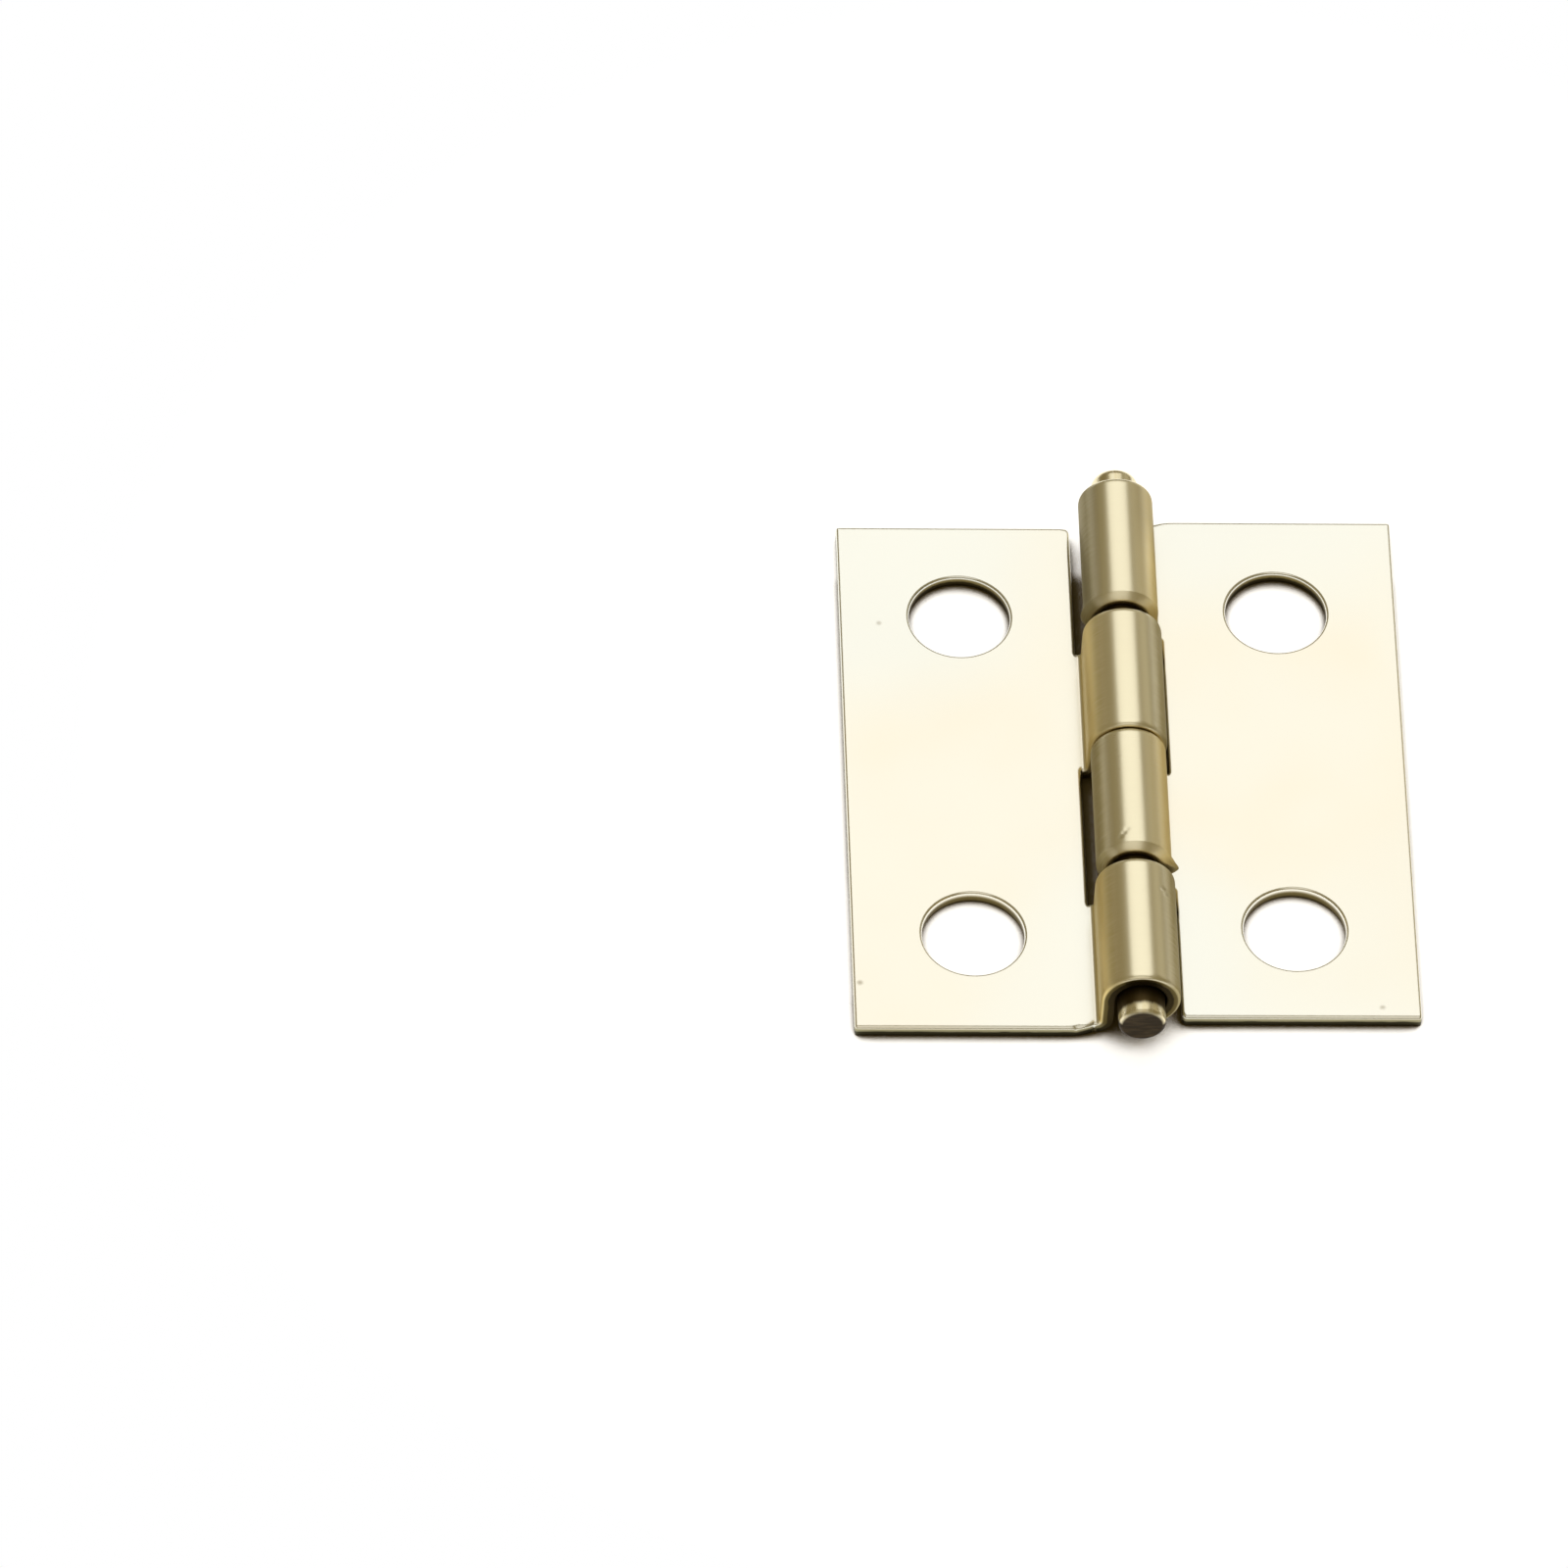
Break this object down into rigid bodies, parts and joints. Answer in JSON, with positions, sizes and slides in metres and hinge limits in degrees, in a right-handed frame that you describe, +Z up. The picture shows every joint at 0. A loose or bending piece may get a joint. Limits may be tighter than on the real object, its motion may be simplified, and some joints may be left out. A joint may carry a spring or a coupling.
{
  "type": "cabinet hinge",
  "caption": "Small brass-plated butt hinge: two flat leaves with punched screw holes and rolled knuckles that interleave on a wire pin.",
  "frame": {"origin": "on the plane of the leaves' backs, under the middle of the pin", "axes": "+X across the open leaves towards the right leaf, +Y along the pin, +Z up from the leaves' backs towards the barrel"},
  "size_m": [0.016, 0.0198, 0.0025],
  "materials": {
    "plated_leaf": "satin pale brass plating on stamped sheet, darker on the sheared edges",
    "pin_wire": "satin plated wire with bare brown cut ends"
  },
  "bodies": {
    "right_side": {"right_leaf": "plated_leaf", "hinge_pin": "pin_wire"},
    "left_side": {"left_leaf": "plated_leaf"}
  },
  "joints": [
    {"name": "leaf_swing", "type": "hinge", "parent": "right_side", "child": "left_side", "pos_m": [0, 0, 0.0014], "axis": [0, 1, 0], "range_deg": [-80, 180]}
  ]
}
